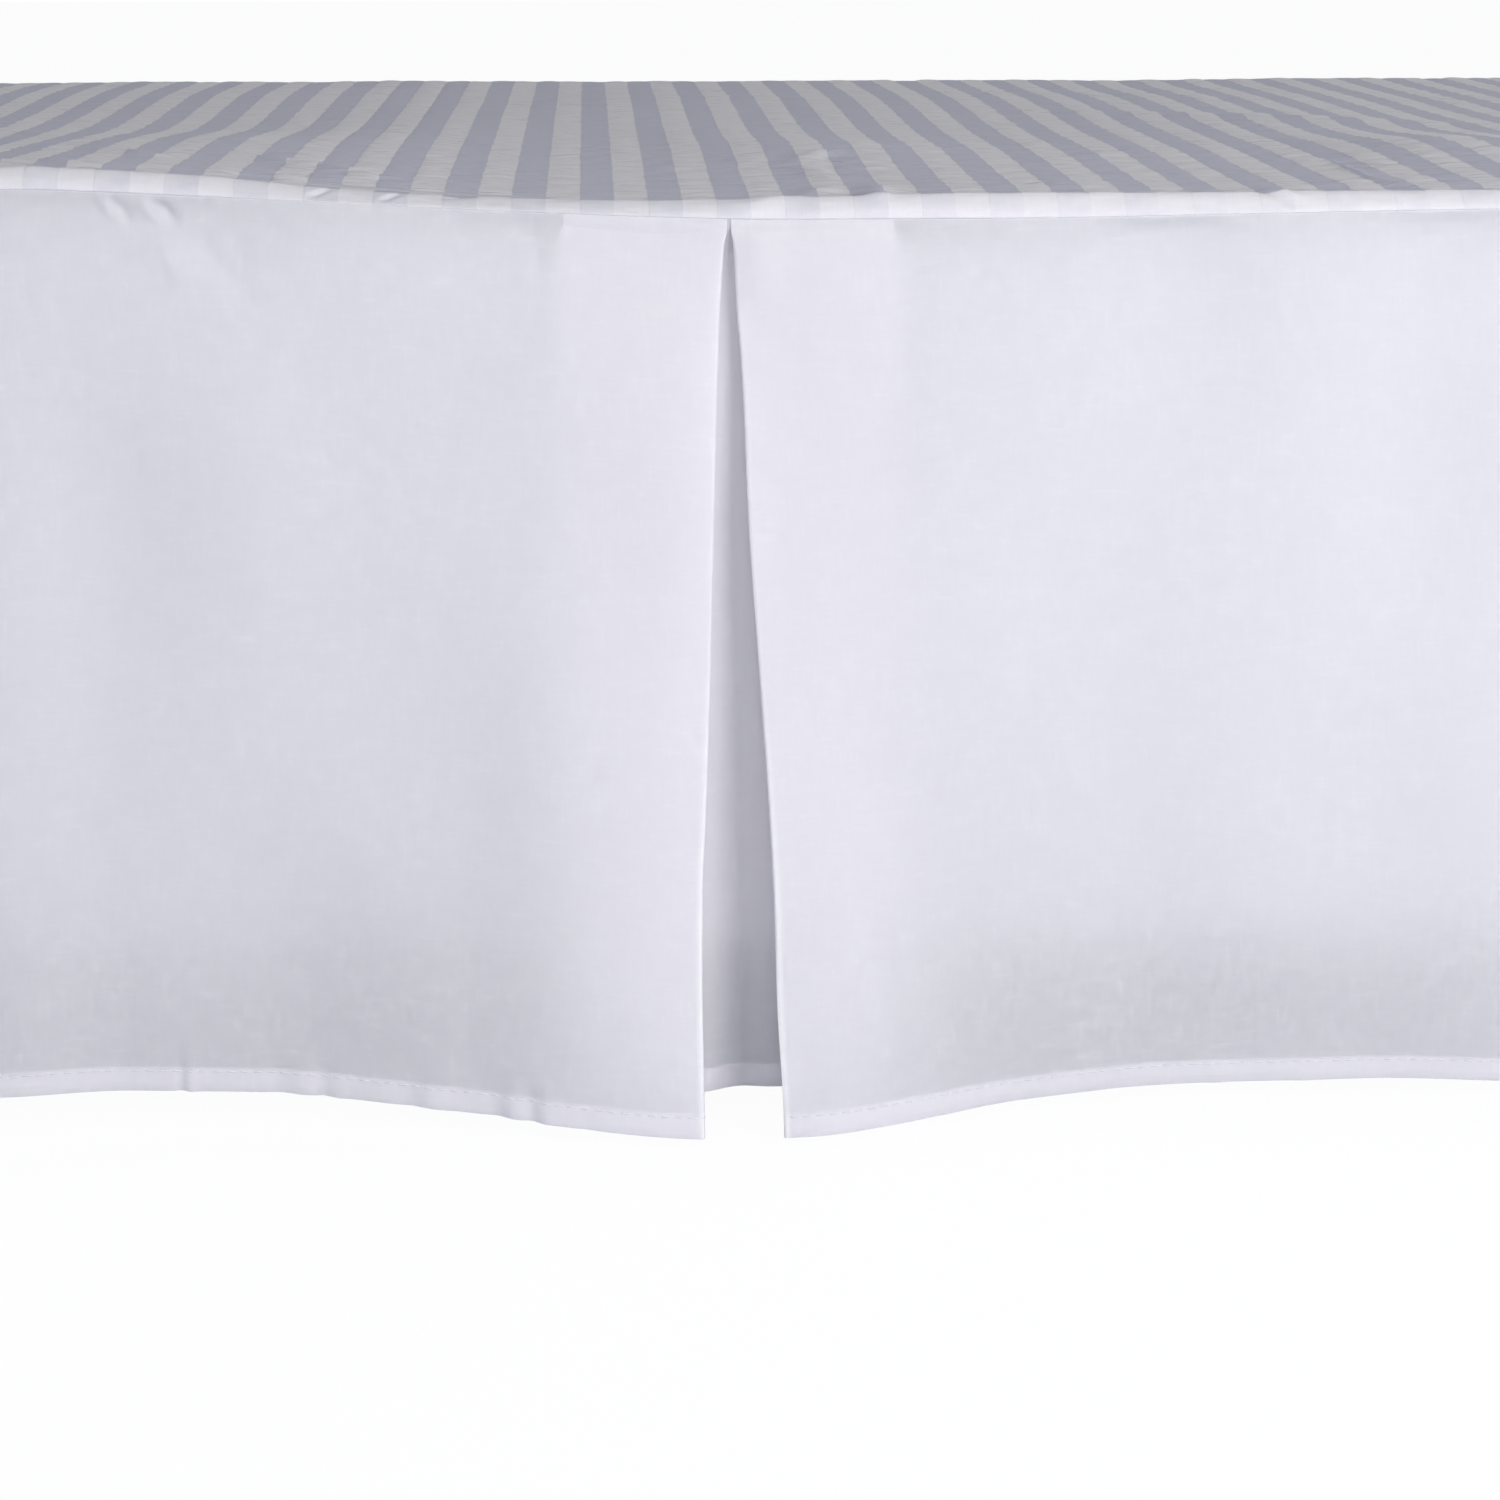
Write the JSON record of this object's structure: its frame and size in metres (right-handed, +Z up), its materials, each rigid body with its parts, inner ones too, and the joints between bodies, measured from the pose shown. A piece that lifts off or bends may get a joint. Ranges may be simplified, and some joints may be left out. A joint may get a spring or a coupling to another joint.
{
  "type": "bed skirt on a plain bed base",
  "caption": "Tailored bed skirt of thin white cloth with a striped deck and inverted box pleats, draped over a plain base on round feet.",
  "frame": {"origin": "on the floor, under the middle of the whole object", "axes": "+X along the long side, to the right as seen from the front; the front is at -Y; +Z up"},
  "size_m": [1.3716, 0.8008, 0.3906],
  "materials": {
    "skirt_cloth": "thin white plain weave with slubs, a little sheer, matte",
    "deck_cloth": "white and pale grey lavender stripes, puckered, matte",
    "base_cover": "plain pale cover, matte",
    "foot_wood": "plain stained wood, satin"
  },
  "bodies": {
    "root": {"deck": "deck_cloth", "front_panel": "skirt_cloth", "back_panel": "skirt_cloth", "left_end_panel": "skirt_cloth", "right_end_panel": "skirt_cloth", "base": "base_cover", "foot_front_left": "foot_wood", "foot_front_right": "foot_wood", "foot_back_left": "foot_wood", "foot_back_right": "foot_wood"}
  },
  "joints": []
}
